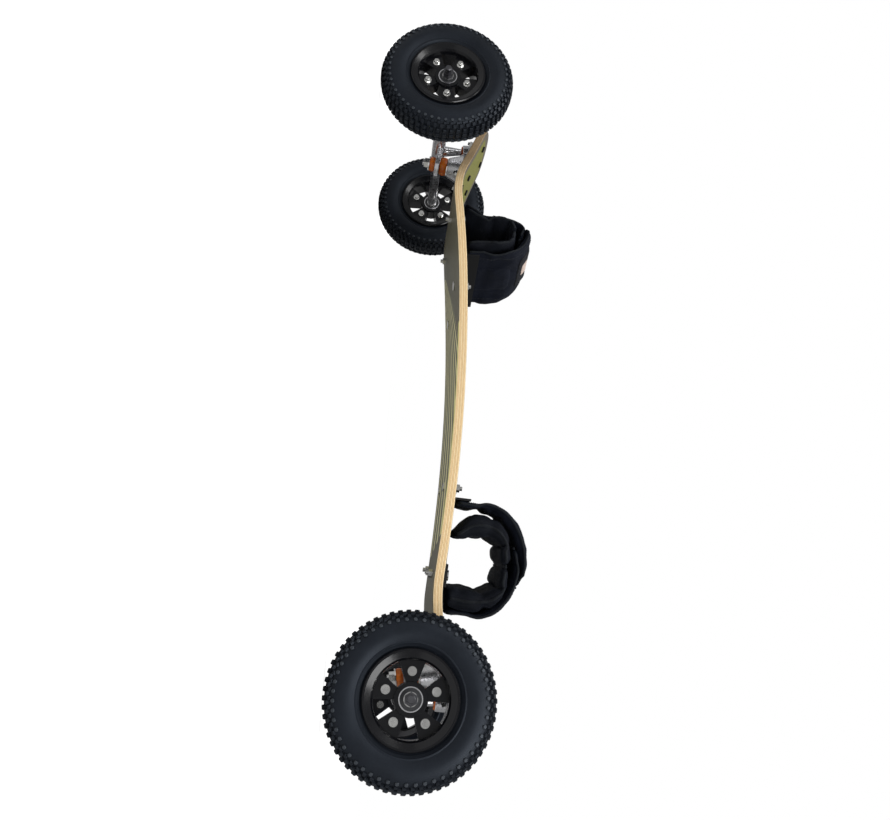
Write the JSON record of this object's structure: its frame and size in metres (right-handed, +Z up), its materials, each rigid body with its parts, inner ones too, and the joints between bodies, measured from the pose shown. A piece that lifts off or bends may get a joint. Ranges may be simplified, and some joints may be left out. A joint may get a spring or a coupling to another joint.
{
  "type": "all-terrain skateboard",
  "caption": "Unpowered all-terrain board: cambered plywood deck with upturned tips, steering trucks, spoked hubs with air tyres and padded foot straps.",
  "frame": {"origin": "on the ground under the middle of the board, as it stands on its four tyres", "axes": "+X along the board towards its front tip, +Y to its left, where the toes point, +Z up"},
  "size_m": [1.0786, 0.39, 0.2519],
  "materials": {
    "plywood": "laminated maple, clear lacquer, stained faces",
    "grip_pad": "fine grained foam rubber",
    "tyre_rubber": "matt black rubber",
    "tube_rubber": "butyl rubber",
    "zinc_steel": "zinc plated",
    "hub_plastic": "glossy moulded nylon",
    "bearing_steel": "ground steel with black shields",
    "urethane": "translucent orange urethane",
    "cast_aluminium": "cast and tumbled",
    "bright_steel": "turned steel",
    "black_steel": "black powder coat",
    "strap_lining": "padded knit lining",
    "strap_fabric": "woven nylon over foam"
  },
  "bodies": {
    "board": {"binding_bolts": "black_steel", "binding_nuts": "zinc_steel", "cup_washers": "bright_steel", "deck": "plywood", "front_boardside_bushing": "urethane", "front_footpad": "grip_pad", "front_inner_liner": "strap_lining", "front_inner_strap": "strap_fabric", "front_outer_liner": "strap_lining", "front_outer_strap": "strap_fabric", "front_roadside_bushing": "urethane", "front_truck_base": "cast_aluminium", "inner_brackets": "black_steel", "kingpin_nuts": "bright_steel", "kingpins": "bright_steel", "outer_brackets": "black_steel", "pivot_cups": "urethane", "rear_boardside_bushing": "urethane", "rear_footpad": "grip_pad", "rear_inner_liner": "strap_lining", "rear_inner_strap": "strap_fabric", "rear_outer_liner": "strap_lining", "rear_outer_strap": "strap_fabric", "rear_roadside_bushing": "urethane", "rear_truck_base": "cast_aluminium", "truck_bolts": "black_steel", "truck_nuts": "zinc_steel"},
    "front_truck": {"front_hanger": "cast_aluminium", "front_axle": "bright_steel", "front_axle_nuts": "bright_steel", "front_axle_washers": "bright_steel"},
    "rear_truck": {"rear_hanger": "cast_aluminium", "rear_axle": "bright_steel", "rear_axle_nuts": "bright_steel", "rear_axle_washers": "bright_steel"},
    "front_left_wheel": {"front_left_tyre": "tyre_rubber", "front_left_inner_tube": "tube_rubber", "front_left_hub_outer": "hub_plastic", "front_left_hub_inner": "hub_plastic", "front_left_hub_bolts": "zinc_steel", "front_left_bearings": "bearing_steel"},
    "front_right_wheel": {"front_right_tyre": "tyre_rubber", "front_right_inner_tube": "tube_rubber", "front_right_hub_outer": "hub_plastic", "front_right_hub_inner": "hub_plastic", "front_right_hub_bolts": "zinc_steel", "front_right_bearings": "bearing_steel"},
    "rear_left_wheel": {"rear_left_tyre": "tyre_rubber", "rear_left_inner_tube": "tube_rubber", "rear_left_hub_outer": "hub_plastic", "rear_left_hub_inner": "hub_plastic", "rear_left_hub_bolts": "zinc_steel", "rear_left_bearings": "bearing_steel"},
    "rear_right_wheel": {"rear_right_tyre": "tyre_rubber", "rear_right_inner_tube": "tube_rubber", "rear_right_hub_outer": "hub_plastic", "rear_right_hub_inner": "hub_plastic", "rear_right_hub_bolts": "zinc_steel", "rear_right_bearings": "bearing_steel"}
  },
  "joints": [
    {"name": "front_steer", "type": "hinge", "parent": "board", "child": "front_truck", "pos_m": [0.41074, 0, 0.10033], "axis": [0.5746, 0, 0.8184], "range_deg": [-15, 15], "stiffness_Nm_per_rad": 90, "deforming": ["front_boardside_bushing", "front_roadside_bushing"]},
    {"name": "rear_steer", "type": "hinge", "parent": "board", "child": "rear_truck", "pos_m": [-0.41074, 0, 0.10033], "axis": [-0.5746, 0, 0.8184], "range_deg": [-15, 15], "stiffness_Nm_per_rad": 90, "deforming": ["rear_boardside_bushing", "rear_roadside_bushing"]},
    {"name": "front_left_spin", "type": "hinge", "parent": "front_truck", "child": "front_left_wheel", "pos_m": [0.4393, 0.1646, 0.1], "axis": [0, 1, 0], "continuous": true},
    {"name": "front_right_spin", "type": "hinge", "parent": "front_truck", "child": "front_right_wheel", "pos_m": [0.4393, -0.1646, 0.1], "axis": [0, 1, 0], "continuous": true},
    {"name": "rear_left_spin", "type": "hinge", "parent": "rear_truck", "child": "rear_left_wheel", "pos_m": [-0.4393, 0.1646, 0.1], "axis": [0, 1, 0], "continuous": true},
    {"name": "rear_right_spin", "type": "hinge", "parent": "rear_truck", "child": "rear_right_wheel", "pos_m": [-0.4393, -0.1646, 0.1], "axis": [0, 1, 0], "continuous": true}
  ]
}
